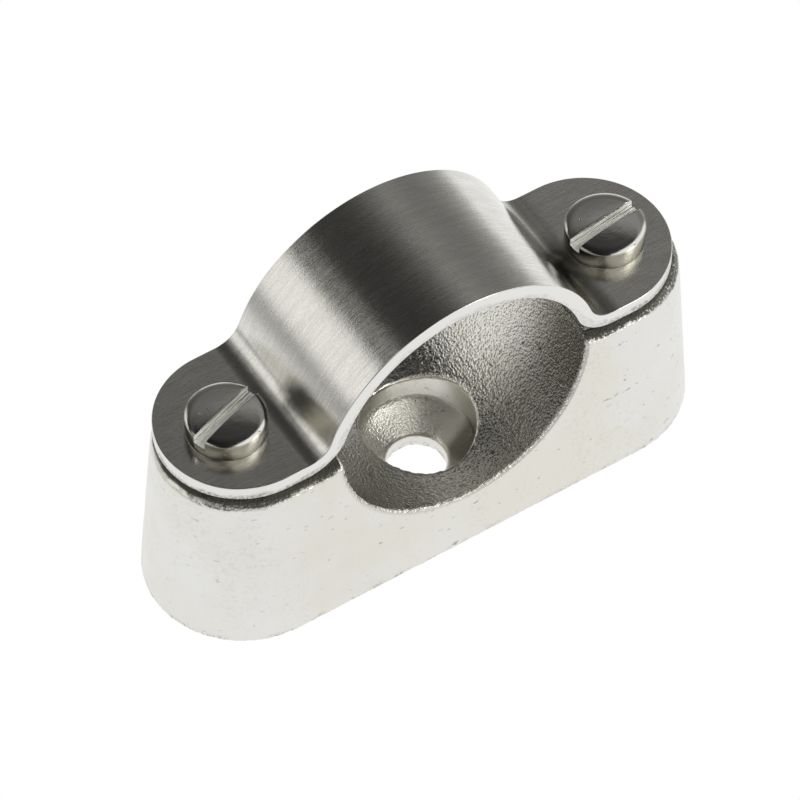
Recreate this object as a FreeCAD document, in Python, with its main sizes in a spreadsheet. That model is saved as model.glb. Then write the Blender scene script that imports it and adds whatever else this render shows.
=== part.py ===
# Saddle clamp for a 25 mm conduit: a cast base, a bent strap over it and two slotted screws.
# Millimetres. The origin is the centre of the base's underside, X runs from screw to screw,
# Y runs along the conduit and Z points up, away from the wall.
import FreeCAD, Part
import Sketcher
import math
import os

doc = FreeCAD.newDocument("SaddleClamp")
V = FreeCAD.Vector
UP = V(0, 0, 1)

# Driving sizes
SIZES = [
    ("base_width", 18.5, "foot of the casting, along the conduit"),
    ("base_height", 18.9, "foot to the face under the strap's ears"),
    ("draft_angle", 4.4, "lean of the casting's sides, degrees"),
    ("top_round", 1.3, "round of the casting's top edge"),
    ("foot_edge_break", 0.2, "chamfer on the casting's bottom edge"),
    ("seat_radius", 12.65, "half-round seat for the conduit"),
    ("seat_rise", 0.2, "seat's centre above the casting's top face"),
    ("seat_edge_break", 0.25, "chamfer on the seat's edges"),
    ("fixing_bore", 5.5, "clearance hole for a 5 mm countersunk screw"),
    ("fixing_land", 1.4, "straight part of that hole at the foot"),
    ("recess_bore", 10.7, "recess for that screw's head"),
    ("countersink_angle", 90.0, "full angle of the cone under the head, degrees"),
    ("head_gap", 0.15, "screw head to the foot of the strap's bend"),
    ("screw_inset", 7.9, "foot of the casting beyond each strap screw"),
    ("thread_size", 4.0, "outer diameter of the strap screws' thread"),
    ("thread_clearance", 0.05, "thread to tapped hole, on the radius"),
    ("tapped_depth", 12.0, "full depth of each tapped hole"),
    ("drill_point_angle", 118.0, "cone left by the drill, degrees"),
    ("sheet_thickness", 1.5, "strap's sheet"),
    ("strap_width", 15.5, "strap, along the conduit"),
    ("strap_end", 6.0, "strap beyond each strap screw"),
    ("arch_radius", 12.7, "inside of the strap's arch"),
    ("arch_drop", 1.2, "arch's centre below the casting's top face"),
    ("bend_radius", 2.7, "inside of the bend from ear to arch"),
    ("screw_play", 0.4, "thread to strap hole, on the radius"),
    ("slip_along", -0.4, "share of the play that the strap has slipped along X"),
    ("slip_across", 0.65, "share of the play that the strap has slipped along Y"),
    ("head_size", 7.3, "screw head's diameter"),
    ("head_rim", 1.75, "height of the head's side"),
    ("head_crown", 0.45, "rise of the head's top above its rim"),
    ("head_shoulder", 1.0, "radius of the head's shoulder, between rim and dome"),
    ("shoulder_lean", 45.0, "slope of the shoulder where it meets the rim, degrees"),
    ("screw_reach", 12.0, "screw below its head"),
    ("tip_chamfer", 0.5, "chamfer at the screw's tip"),
    ("slot_width", 1.2, "screwdriver slot"),
    ("slot_depth", 1.1, "screwdriver slot, from the top of the dome"),
    ("left_slot_turn", 18.0, "slot of the left screw from X, degrees"),
    ("right_slot_turn", 6.5, "slot of the right screw from X, degrees"),
    ("trim_margin", 2.0, "blank left outside the strap's outline before it is trimmed"),
]

sheet = doc.addObject("Spreadsheet::Sheet", "Sizes")
for row, (alias, value, note) in enumerate(SIZES, start=1):
    sheet.set(f"A{row}", alias)
    sheet.set(f"B{row}", str(value))
    sheet.setAlias(f"B{row}", alias)
    sheet.set(f"C{row}", note)
doc.recompute()


def size(alias):
    return float(sheet.get(alias))


# The arch sets where the bends start, the bends set the screws, and the screws set both lengths.
# Each of these sizes has the rule that keeps it true.
outer_bend = size("bend_radius") + size("sheet_thickness")
outer_bend_rule = "(Sizes.bend_radius + Sizes.sheet_thickness)"
bend_rise = outer_bend + size("arch_drop")
bend_rise_rule = f"({outer_bend_rule} + Sizes.arch_drop)"
bend_place = math.sqrt((size("arch_radius") + outer_bend) ** 2 - bend_rise ** 2)
bend_place_rule = f"sqrt((Sizes.arch_radius + {outer_bend_rule})^2 - {bend_rise_rule}^2)"
screw_place = bend_place + size("head_size") / 2 + size("head_gap")
screw_place_rule = f"({bend_place_rule} + Sizes.head_size / 2 + Sizes.head_gap)"
base_length = 2 * (screw_place + size("screw_inset"))
base_length_rule = f"2 * ({screw_place_rule} + Sizes.screw_inset)"
strap_length = 2 * (screw_place + size("strap_end"))
strap_length_rule = f"2 * ({screw_place_rule} + Sizes.strap_end)"


# Helpers for bodies, sketches and features
def new_body(label):
    body = doc.addObject("PartDesign::Body", label)
    body.Label = label
    return body


def new_sketch(body, plane, name, lift=None):
    sketch = body.newObject("Sketcher::SketchObject", name)
    origin_plane = [f for f in body.Origin.OriginFeatures if f.Role == plane][0]
    sketch.AttachmentSupport = [(origin_plane, "")]
    sketch.MapMode = "FlatFace"
    if lift:
        sketch.setExpression("AttachmentOffset.Base.z", lift)
    return sketch


def drive(sketch, name, expression, *constraint):
    index = sketch.addConstraint(Sketcher.Constraint(*constraint))
    sketch.renameConstraint(index, name)
    sketch.setExpression(f"Constraints.{name}", expression)


def fix(sketch, *constraint):
    sketch.addConstraint(Sketcher.Constraint(*constraint))


def new_feature(body, kind, name, profile=None):
    feature = body.newObject(f"PartDesign::{kind}", name)
    if profile:
        feature.Profile = profile
        profile.Visibility = False
    return feature


def volume_of(feature):
    doc.recompute()
    return feature.Shape.Volume


def stays_smaller(feature, before):
    if volume_of(feature) >= before:
        raise RuntimeError(f"{feature.Label} removes nothing")


def edges_where(feature, test):
    doc.recompute()
    return [f"Edge{i}" for i, edge in enumerate(feature.Shape.Edges, start=1) if test(edge)]


def round_edges(body, base, name, radius, test):
    fillet = new_feature(body, "Fillet", name)
    fillet.Base = (base, edges_where(base, test))
    fillet.setExpression("Radius", f"Sizes.{radius}")
    return fillet


def break_edges(body, base, name, width, test):
    chamfer = new_feature(body, "Chamfer", name)
    chamfer.Base = (base, edges_where(base, test))
    chamfer.setExpression("Size", f"Sizes.{width}")
    return chamfer


def flat_at(edge, height):
    box = edge.BoundBox
    return abs(box.ZMin - height) < 1e-4 and abs(box.ZMax - height) < 1e-4


# The constraints' own numbers for places on a line or arc, and for the sketch's axes
START, END, CENTRE = range(1, 4)
H_AXIS, V_AXIS = range(-1, -3, -1)
ORIGIN = H_AXIS


def add_line(sketch, a, b):
    return sketch.addGeometry(Part.LineSegment(V(*a, 0), V(*b, 0)), False)


def add_arc(sketch, centre, radius, start, end):
    circle = Part.Circle(V(*centre, 0), UP, radius)
    return sketch.addGeometry(Part.ArcOfCircle(circle, math.radians(start), math.radians(end)), False)


# A slot outline about the sketch's origin: two straight sides and two half-round ends
def draw_slot(sketch, length, width, length_rule, width_rule):
    radius = width / 2
    reach = length / 2 - radius
    top = add_line(sketch, (-reach, radius), (reach, radius))
    right = add_arc(sketch, (reach, 0), radius, -90, 90)
    bottom = add_line(sketch, (reach, -radius), (-reach, -radius))
    left = add_arc(sketch, (-reach, 0), radius, 90, 270)
    fix(sketch, "Tangent", top, END, right, END)
    fix(sketch, "Tangent", right, START, bottom, START)
    fix(sketch, "Tangent", bottom, END, left, END)
    fix(sketch, "Tangent", left, START, top, START)
    fix(sketch, "Horizontal", top)
    fix(sketch, "Equal", left, right)
    fix(sketch, "Symmetric", left, CENTRE, right, CENTRE, ORIGIN, START)
    ends_rule = f"{length_rule} - {width_rule}"
    drive(sketch, "ends", ends_rule, "Distance", left, CENTRE, right, CENTRE, 2 * reach)
    drive(sketch, "end_radius", f"{width_rule} / 2", "Radius", right, radius)


# Circles on the X axis at both screws
def draw_screw_circles(sketch, diameter, expression):
    left, right = [
        sketch.addGeometry(Part.Circle(V(side * screw_place, 0, 0), UP, diameter / 2), False)
        for side in (-1, 1)
    ]
    left_ends = (left, CENTRE, ORIGIN, START)
    right_ends = (ORIGIN, START, right, CENTRE)
    drive(sketch, "left_place", screw_place_rule, "DistanceX", *left_ends, screw_place)
    drive(sketch, "right_place", screw_place_rule, "DistanceX", *right_ends, screw_place)
    for name, circle in (("left", left), ("right", right)):
        fix(sketch, "PointOnObject", circle, CENTRE, H_AXIS)
        drive(sketch, f"{name}_size", expression, "Diameter", circle, diameter)


# A closed outline through points, each held at its place by two expressions
def draw_half_section(sketch, points):
    lines = []
    for i, (x, y, _, _) in enumerate(points):
        nx, ny = points[(i + 1) % len(points)][:2]
        lines.append(add_line(sketch, (x, y), (nx, ny)))
    for i, line in enumerate(lines):
        fix(sketch, "Coincident", line, END, lines[(i + 1) % len(lines)], START)
    for i, (x, y, x_rule, y_rule) in enumerate(points):
        if x_rule:
            drive(sketch, f"x{i}", x_rule, "DistanceX", ORIGIN, START, lines[i], START, x)
        else:
            fix(sketch, "PointOnObject", lines[i], START, V_AXIS)
        if y_rule:
            drive(sketch, f"y{i}", y_rule, "DistanceY", ORIGIN, START, lines[i], START, y)
        else:
            fix(sketch, "PointOnObject", lines[i], START, H_AXIS)


# Base: a solid casting with drafted sides, a half-round seat and a countersunk fixing hole
def make_base():
    body = new_body("base")
    foot = new_sketch(body, "XY_Plane", "foot_outline")
    draw_slot(foot, base_length, size("base_width"), base_length_rule, "Sizes.base_width")
    block = new_feature(body, "Pad", "drafted_block", foot)
    block.setExpression("Length", "Sizes.base_height")
    block.setExpression("TaperAngle", "-Sizes.draft_angle")
    height = size("base_height")
    topped = round_edges(body, block, "top_edge", "top_round", lambda e: flat_at(e, height))
    softened = break_edges(body, topped, "foot_edge", "foot_edge_break", lambda e: flat_at(e, 0))

    seat_circle = new_sketch(body, "XZ_Plane", "seat_circle")
    radius = size("seat_radius")
    centre_height = height + size("seat_rise")
    ring = seat_circle.addGeometry(Part.Circle(V(0, centre_height, 0), UP, radius), False)
    fix(seat_circle, "PointOnObject", ring, CENTRE, V_AXIS)
    height_rule = "Sizes.base_height + Sizes.seat_rise"
    drive(seat_circle, "height", height_rule, "DistanceY", ORIGIN, START, ring, CENTRE, centre_height)
    drive(seat_circle, "radius", "Sizes.seat_radius", "Radius", ring, radius)
    before = volume_of(softened)
    seat = new_feature(body, "Pocket", "seat", seat_circle)
    seat.SideType = "Symmetric"
    seat.Type = "ThroughAll"
    stays_smaller(seat, before)

    def on_seat(edge):
        points = edge.discretize(5)
        reach = [math.hypot(p.x, p.z - centre_height) for p in points]
        return all(abs(r - radius) < 1e-3 for r in reach)

    eased = break_edges(body, seat, "seat_edge", "seat_edge_break", on_seat)

    hole_section = new_sketch(body, "XZ_Plane", "fixing_section")
    bore = size("fixing_bore") / 2
    recess = size("recess_bore") / 2
    land = size("fixing_land")
    cone_top = land + (recess - bore) / math.tan(math.radians(size("countersink_angle") / 2))
    cone_rise_rule = "(Sizes.recess_bore - Sizes.fixing_bore) / 2 / tan(Sizes.countersink_angle * 0.5deg)"
    cone_rule = f"Sizes.fixing_land + {cone_rise_rule}"
    draw_half_section(hole_section, [
        (0, 0, None, None),
        (bore, 0, "Sizes.fixing_bore / 2", None),
        (bore, land, "Sizes.fixing_bore / 2", "Sizes.fixing_land"),
        (recess, cone_top, "Sizes.recess_bore / 2", cone_rule),
        (recess, height, "Sizes.recess_bore / 2", "Sizes.base_height"),
        (0, height, None, "Sizes.base_height"),
    ])
    before = volume_of(eased)
    fixing = new_feature(body, "Groove", "fixing_hole", hole_section)
    fixing.ReferenceAxis = (hole_section, ["V_Axis"])
    fixing.Angle = 360
    stays_smaller(fixing, before)

    marks = new_sketch(body, "XY_Plane", "tapped_marks", "Sizes.base_height")
    tapped_bore = size("thread_size") + 2 * size("thread_clearance")
    tapped_rule = "Sizes.thread_size + 2 * Sizes.thread_clearance"
    draw_screw_circles(marks, tapped_bore, tapped_rule)
    before = volume_of(fixing)
    tapped = new_feature(body, "Hole", "tapped_holes", marks)
    doc.recompute()
    tapped.DepthType = "Dimension"
    tapped.DrillPoint = "Angled"
    tapped.setExpression("Diameter", tapped_rule)
    tapped.setExpression("Depth", "Sizes.tapped_depth")
    tapped.setExpression("DrillPointAngle", "Sizes.drill_point_angle")
    stays_smaller(tapped, before)
    body.Tip = tapped
    return body


# Strap: one bent sheet, flat ears on the base and a part-round arch between them
def draw_strap_profile(sketch):
    thickness = size("sheet_thickness")
    ear = size("base_height")
    arch = size("arch_radius")
    bend = size("bend_radius")
    centre = ear - size("arch_drop")
    end = strap_length / 2 + size("trim_margin")
    lean = math.degrees(math.atan2(bend_rise, bend_place))
    bend_z = ear + outer_bend

    under_left = add_line(sketch, (-end, ear), (-bend_place, ear))
    bend_left = add_arc(sketch, (-bend_place, bend_z), outer_bend, -90, -lean)
    inside = add_arc(sketch, (0, centre), arch, lean, 180 - lean)
    bend_right = add_arc(sketch, (bend_place, bend_z), outer_bend, 180 + lean, 270)
    under_right = add_line(sketch, (bend_place, ear), (end, ear))
    end_right = add_line(sketch, (end, ear), (end, ear + thickness))
    over_right = add_line(sketch, (end, ear + thickness), (bend_place, ear + thickness))
    top_bend_right = add_arc(sketch, (bend_place, bend_z), bend, 180 + lean, 270)
    outside = add_arc(sketch, (0, centre), arch + thickness, lean, 180 - lean)
    top_bend_left = add_arc(sketch, (-bend_place, bend_z), bend, -90, -lean)
    over_left = add_line(sketch, (-bend_place, ear + thickness), (-end, ear + thickness))
    end_left = add_line(sketch, (-end, ear + thickness), (-end, ear))

    fix(sketch, "Tangent", under_left, END, bend_left, START)
    fix(sketch, "Tangent", bend_left, END, inside, END)
    fix(sketch, "Tangent", inside, START, bend_right, START)
    fix(sketch, "Tangent", bend_right, END, under_right, START)
    fix(sketch, "Coincident", under_right, END, end_right, START)
    fix(sketch, "Coincident", end_right, END, over_right, START)
    fix(sketch, "Tangent", over_right, END, top_bend_right, END)
    fix(sketch, "Tangent", top_bend_right, START, outside, START)
    fix(sketch, "Tangent", outside, END, top_bend_left, END)
    fix(sketch, "Tangent", top_bend_left, START, over_left, START)
    fix(sketch, "Coincident", over_left, END, end_left, START)
    fix(sketch, "Coincident", end_left, END, under_left, START)
    fix(sketch, "Coincident", top_bend_right, CENTRE, bend_right, CENTRE)
    fix(sketch, "Coincident", top_bend_left, CENTRE, bend_left, CENTRE)
    fix(sketch, "Coincident", outside, CENTRE, inside, CENTRE)
    fix(sketch, "PointOnObject", inside, CENTRE, V_AXIS)
    for line in (under_left, under_right, over_right, over_left):
        fix(sketch, "Horizontal", line)
    for line in (end_right, end_left):
        fix(sketch, "Vertical", line)

    end_rule = f"{strap_length_rule} / 2 + Sizes.trim_margin"
    centre_rule = "Sizes.base_height - Sizes.arch_drop"
    drive(sketch, "arch_height", centre_rule, "DistanceY", ORIGIN, START, inside, CENTRE, centre)
    drive(sketch, "arch_inside", "Sizes.arch_radius", "Radius", inside, arch)
    drive(sketch, "left_bend", outer_bend_rule, "Radius", bend_left, outer_bend)
    drive(sketch, "right_bend", outer_bend_rule, "Radius", bend_right, outer_bend)
    drive(sketch, "left_ear", "Sizes.base_height", "DistanceY", ORIGIN, START, under_left, START, ear)
    drive(sketch, "right_ear", "Sizes.base_height", "DistanceY", ORIGIN, START, under_right, END, ear)
    sheet_rule = "Sizes.sheet_thickness"
    drive(sketch, "thickness", sheet_rule, "DistanceY", end_right, START, end_right, END, thickness)
    drive(sketch, "left_end", end_rule, "DistanceX", under_left, START, ORIGIN, START, end)
    drive(sketch, "right_end", end_rule, "DistanceX", ORIGIN, START, under_right, END, end)


def draw_frame(sketch, half_length, half_width, length_rule, width_rule):
    corners = [(-1, -1), (1, -1), (1, 1), (-1, 1)]
    places = [(x * half_length, y * half_width) for x, y in corners]
    lines = [add_line(sketch, places[i], places[(i + 1) % 4]) for i in range(4)]
    for i in range(4):
        fix(sketch, "Coincident", lines[i], END, lines[(i + 1) % 4], START)
        fix(sketch, "Vertical" if i % 2 else "Horizontal", lines[i])
    fix(sketch, "Symmetric", lines[0], START, lines[2], START, ORIGIN, START)
    drive(sketch, "frame_length", length_rule, "DistanceX", lines[0], START, lines[0], END, 2 * half_length)
    drive(sketch, "frame_width", width_rule, "DistanceY", lines[1], START, lines[1], END, 2 * half_width)


def make_strap():
    body = new_body("strap")
    profile = new_sketch(body, "XZ_Plane", "bent_profile")
    draw_strap_profile(profile)
    margin = size("trim_margin")
    sheet_pad = new_feature(body, "Pad", "bent_sheet", profile)
    sheet_pad.SideType = "Symmetric"
    sheet_pad.setExpression("Length", "Sizes.strap_width + 2 * Sizes.trim_margin")

    plan = new_sketch(body, "XY_Plane", "plan_outline")
    width_rule = "Sizes.strap_width"
    draw_slot(plan, strap_length, size("strap_width"), strap_length_rule, width_rule)
    half_length = strap_length / 2 + 2 * margin
    half_width = size("strap_width") / 2 + 2 * margin
    around_rule = "{} + 4 * Sizes.trim_margin"
    frame_rules = [around_rule.format(rule) for rule in (strap_length_rule, width_rule)]
    draw_frame(plan, half_length, half_width, *frame_rules)
    before = volume_of(sheet_pad)
    trimmed = new_feature(body, "Pocket", "trimmed_outline", plan)
    trimmed.SideType = "Symmetric"
    trimmed.Type = "ThroughAll"
    stays_smaller(trimmed, before)

    holes = new_sketch(body, "XY_Plane", "screw_holes")
    hole = size("thread_size") + 2 * size("screw_play")
    draw_screw_circles(holes, hole, "Sizes.thread_size + 2 * Sizes.screw_play")
    before = volume_of(trimmed)
    drilled = new_feature(body, "Pocket", "screw_clearance", holes)
    drilled.SideType = "Symmetric"
    drilled.Type = "ThroughAll"
    stays_smaller(drilled, before)
    body.Tip = drilled
    body.setExpression("Placement.Base.x", "Sizes.slip_along * Sizes.screw_play")
    body.setExpression("Placement.Base.y", "Sizes.slip_across * Sizes.screw_play")
    return body


# Screw: slotted, with a domed head, its own origin under the head
def make_screw(label, side, turn):
    body = new_body(label)
    section = new_sketch(body, "XZ_Plane", f"{label}_section")
    shank = size("thread_size") / 2
    head = size("head_size") / 2
    rim = size("head_rim")
    crown = size("head_crown")
    reach = size("screw_reach")
    chamfer = size("tip_chamfer")
    top = rim + crown
    shoulder = size("head_shoulder")
    lean = math.radians(size("shoulder_lean"))
    shoulder_x = head - shoulder * math.sin(lean)
    shoulder_z = rim - shoulder * math.cos(lean)
    drop = top - shoulder_z
    dome = (shoulder_x ** 2 + drop ** 2 - shoulder ** 2) / (2 * (drop - shoulder))
    rim_turn = 90 - size("shoulder_lean")
    dome_turn = math.degrees(math.acos(shoulder_x / (dome - shoulder)))

    axis = add_line(section, (0, top), (0, -reach))
    tip = add_line(section, (0, -reach), (shank - chamfer, -reach))
    bevel = add_line(section, (shank - chamfer, -reach), (shank, chamfer - reach))
    side_line = add_line(section, (shank, chamfer - reach), (shank, 0))
    under = add_line(section, (shank, 0), (head, 0))
    edge = add_line(section, (head, 0), (head, rim))
    shoulder_arc = add_arc(section, (shoulder_x, shoulder_z), shoulder, rim_turn, dome_turn)
    dome_arc = add_arc(section, (0, top - dome), dome, dome_turn, 90)
    chain = [axis, tip, bevel, side_line, under, edge, shoulder_arc]
    for first, second in zip(chain, chain[1:]):
        fix(section, "Coincident", first, END, second, START)
    fix(section, "Tangent", shoulder_arc, END, dome_arc, START)
    fix(section, "Coincident", dome_arc, END, axis, START)
    fix(section, "PointOnObject", dome_arc, CENTRE, V_AXIS)
    fix(section, "PointOnObject", axis, START, V_AXIS)
    fix(section, "PointOnObject", axis, END, V_AXIS)
    fix(section, "Horizontal", tip)
    fix(section, "Vertical", side_line)
    fix(section, "PointOnObject", under, START, H_AXIS)
    fix(section, "PointOnObject", under, END, H_AXIS)
    fix(section, "Vertical", edge)
    top_rule = "Sizes.head_rim + Sizes.head_crown"
    drive(section, "top", top_rule, "DistanceY", ORIGIN, START, axis, START, top)
    drive(section, "reach", "Sizes.screw_reach", "DistanceY", axis, END, ORIGIN, START, reach)
    drive(section, "shank", "Sizes.thread_size / 2", "DistanceX", ORIGIN, START, under, START, shank)
    drive(section, "head", "Sizes.head_size / 2", "DistanceX", ORIGIN, START, under, END, head)
    drive(section, "rim", "Sizes.head_rim", "DistanceY", ORIGIN, START, edge, END, rim)
    drive(section, "shoulder", "Sizes.head_shoulder", "Radius", shoulder_arc, shoulder)
    in_rule = "Sizes.head_size / 2 - Sizes.head_shoulder * sin(Sizes.shoulder_lean * 1deg)"
    drive(section, "shoulder_in", in_rule, "DistanceX", ORIGIN, START, shoulder_arc, CENTRE, shoulder_x)
    drive(section, "bevel_in", "Sizes.tip_chamfer", "DistanceX", bevel, START, bevel, END, chamfer)
    drive(section, "bevel_up", "Sizes.tip_chamfer", "DistanceY", bevel, START, bevel, END, chamfer)
    turned = new_feature(body, "Revolution", f"{label}_turned", section)
    turned.ReferenceAxis = (section, ["V_Axis"])
    turned.Angle = 360

    slot_outline = new_sketch(body, "XY_Plane", f"{label}_slot_outline", top_rule)
    margin = size("trim_margin")
    half_length = head + margin
    half_width = size("slot_width") / 2
    length_rule = "Sizes.head_size + 2 * Sizes.trim_margin"
    draw_frame(slot_outline, half_length, half_width, length_rule, "Sizes.slot_width")
    before = volume_of(turned)
    slot = new_feature(body, "Pocket", f"{label}_slot", slot_outline)
    slot.setExpression("Length", "Sizes.slot_depth")
    stays_smaller(slot, before)
    body.Tip = slot
    body.Placement = FreeCAD.Placement(V(0, 0, 0), FreeCAD.Rotation(UP, size(turn)))
    body.setExpression("Placement.Rotation.Angle", f"Sizes.{turn}")
    body.setExpression("Placement.Base.x", f"{side} * {screw_place_rule}")
    body.setExpression("Placement.Base.z", "Sizes.base_height + Sizes.sheet_thickness")
    return body


pieces = [
    make_base(),
    make_strap(),
    make_screw("left_screw", -1, "left_slot_turn"),
    make_screw("right_screw", 1, "right_slot_turn"),
]
doc.recompute()

# Every object has to be sound before anything is written
for item in doc.Objects:
    if "Invalid" in item.State or "Error" in item.State:
        raise RuntimeError(f"{item.Label} failed: {item.State}")
for piece in pieces:
    if piece.Shape.isNull() or not piece.Shape.isValid():
        raise RuntimeError(f"{piece.Label} has no valid shape")

os.makedirs("parts", exist_ok=True)
for piece in pieces:
    piece.Shape.exportStep(f"parts/{piece.Label}.step")
    box = piece.Shape.optimalBoundingBox(False, False)
    extent = f"{box.XLength:.2f} x {box.YLength:.2f} x {box.ZLength:.2f} mm"
    print(f"{piece.Label}: {extent}, {piece.Shape.Volume:.1f} mm3")
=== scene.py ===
# Saddle clamp for conduit: a cast base, a bent strap over its seat, and two slotted screws.
# Lengths in the dictionaries are in millimetres; the meshes are in metres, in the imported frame.
import math
import bmesh
import bpy
import numpy as np
from mathutils import Matrix, Vector


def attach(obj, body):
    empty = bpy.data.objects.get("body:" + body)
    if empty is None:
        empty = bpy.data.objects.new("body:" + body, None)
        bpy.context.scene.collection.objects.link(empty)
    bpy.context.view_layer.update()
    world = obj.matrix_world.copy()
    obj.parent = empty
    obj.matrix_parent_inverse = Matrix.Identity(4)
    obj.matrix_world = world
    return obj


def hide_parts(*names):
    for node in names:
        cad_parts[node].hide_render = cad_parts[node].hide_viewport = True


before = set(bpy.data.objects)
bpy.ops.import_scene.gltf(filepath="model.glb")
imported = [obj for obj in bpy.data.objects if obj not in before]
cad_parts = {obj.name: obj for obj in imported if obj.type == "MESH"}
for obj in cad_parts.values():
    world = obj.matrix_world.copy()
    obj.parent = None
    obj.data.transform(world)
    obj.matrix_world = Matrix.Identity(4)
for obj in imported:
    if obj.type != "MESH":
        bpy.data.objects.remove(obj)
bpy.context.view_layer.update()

mm = 0.001
tiny = 1e-6  # two points nearer than this are the same point
holeSides = 96


# Picking things up and editing them
def putDown():
    if bpy.context.object and bpy.context.object.mode != "OBJECT":
        bpy.ops.object.mode_set(mode="OBJECT")
    bpy.ops.object.select_all(action="DESELECT")


def takeUp(piece):
    putDown()
    piece.select_set(True)
    bpy.context.view_layer.objects.active = piece


def settle(name):  # a fresh primitive gets its name, and its place goes into its mesh
    piece = bpy.context.object
    piece.name = name
    piece.data.name = name
    bpy.ops.object.transform_apply(location=True, rotation=True, scale=True)
    return piece


def choose(piece, kind, test):  # kind is verts, edges or faces; edit mode is left on
    takeUp(piece)
    bpy.ops.object.mode_set(mode="EDIT")
    bpy.ops.mesh.select_mode(type={"verts": "VERT", "edges": "EDGE", "faces": "FACE"}[kind])
    bpy.ops.mesh.select_all(action="DESELECT")
    mesh = bmesh.from_edit_mesh(piece.data)
    for item in getattr(mesh, kind):
        if test(item):
            item.select_set(True)
    mesh.select_flush_mode()
    bmesh.update_edit_mesh(piece.data)


def modify(piece, kind, **settings):
    takeUp(piece)
    bpy.ops.object.modifier_add(type=kind)
    modifier = piece.modifiers[-1]
    for name, value in settings.items():
        setattr(modifier, name, value)
    bpy.ops.object.modifier_apply(modifier=modifier.name)


def cut(piece, cutter, operation="DIFFERENCE"):
    modify(piece, "BOOLEAN", object=cutter, operation=operation, solver="EXACT")
    bpy.data.objects.remove(cutter)


def drill(piece, radius, low, high, x=0.0, y=0.0):
    putDown()
    bpy.ops.mesh.primitive_cylinder_add(
        vertices=holeSides, radius=radius, depth=high - low, location=(x, y, (low + high) / 2))
    cut(piece, settle("drill"))


# A turned shape: rings of (radius, height) from its lowest cap to its highest
def turn(name, rings, segments, pointed=False):
    putDown()
    radius, height = rings[0]
    bpy.ops.mesh.primitive_circle_add(
        vertices=segments, radius=radius, fill_type="NGON", location=(0, 0, height))
    piece = settle(name)
    choose(piece, "faces", lambda face: True)
    for nextRadius, nextHeight in rings[1:]:
        grow = nextRadius / radius
        bpy.ops.mesh.extrude_region_move(
            TRANSFORM_OT_translate={"value": (0, 0, nextHeight - height)})
        bpy.ops.transform.resize(value=(grow, grow, 1), center_override=(0, 0, nextHeight))
        radius, height = nextRadius, nextHeight
    if pointed:
        bpy.ops.mesh.merge(type="CENTER")
    bpy.ops.mesh.select_all(action="SELECT")
    bpy.ops.mesh.normals_make_consistent(inside=False)
    putDown()
    return piece


def stadiumPrism(name, length, width, low, high, segments, taper=0.0):
    putDown()
    radius = width / 2
    reach = (length - width) / 2
    bpy.ops.mesh.primitive_cone_add(
        vertices=segments, radius1=radius, radius2=radius - taper, depth=high - low,
        location=(0, 0, (low + high) / 2))
    prism = settle(name)
    choose(prism, "verts", lambda vert: True)
    bpy.ops.mesh.bisect(plane_co=(0, 0, 0), plane_no=(1, 0, 0), clear_inner=True, threshold=tiny)
    bpy.ops.mesh.select_all(action="SELECT")
    bpy.ops.transform.translate(value=(reach, 0, 0))
    choose(prism, "edges", lambda edge: all(abs(v.co.x - reach) < tiny for v in edge.verts))
    bpy.ops.mesh.extrude_region_move(TRANSFORM_OT_translate={"value": (-reach, 0, 0)})
    modify(prism, "MIRROR", use_axis=(True, False, False), merge_threshold=tiny)
    choose(prism, "faces", lambda face: True)
    bpy.ops.mesh.dissolve_limited(angle_limit=math.radians(0.5))
    bpy.ops.mesh.select_all(action="SELECT")
    bpy.ops.mesh.normals_make_consistent(inside=False)
    putDown()
    return prism


def places(piece):  # every vertex of the mesh, as an array
    points = np.empty(len(piece.data.vertices) * 3)
    piece.data.vertices.foreach_get("co", points)
    return points.reshape(-1, 3)


def between(value, low, high):  # 0 at low, 1 at high, smooth between
    value = np.clip((value - low) / (high - low), 0, 1)
    return value * value * (3 - 2 * value)


def group(piece, name, weights, least=0.003):  # smaller weights are left out
    new = piece.vertex_groups.new(name=name)
    for index in np.nonzero(weights > least)[0]:
        new.add([int(index)], float(weights[index]), "REPLACE")
    return name


# Pushes the surface in and out by a cloud pattern, only where the weights allow it
def roughen(piece, name, weights, grain, height, detail):
    cloud = bpy.data.textures.new(name, "CLOUDS")
    cloud.noise_scale = grain
    cloud.noise_depth = detail
    modify(piece, "DISPLACE", texture=cloud, texture_coords="LOCAL", mid_level=0.5,
           strength=height, vertex_group=group(piece, name, weights))
    bpy.data.textures.remove(cloud)


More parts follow.
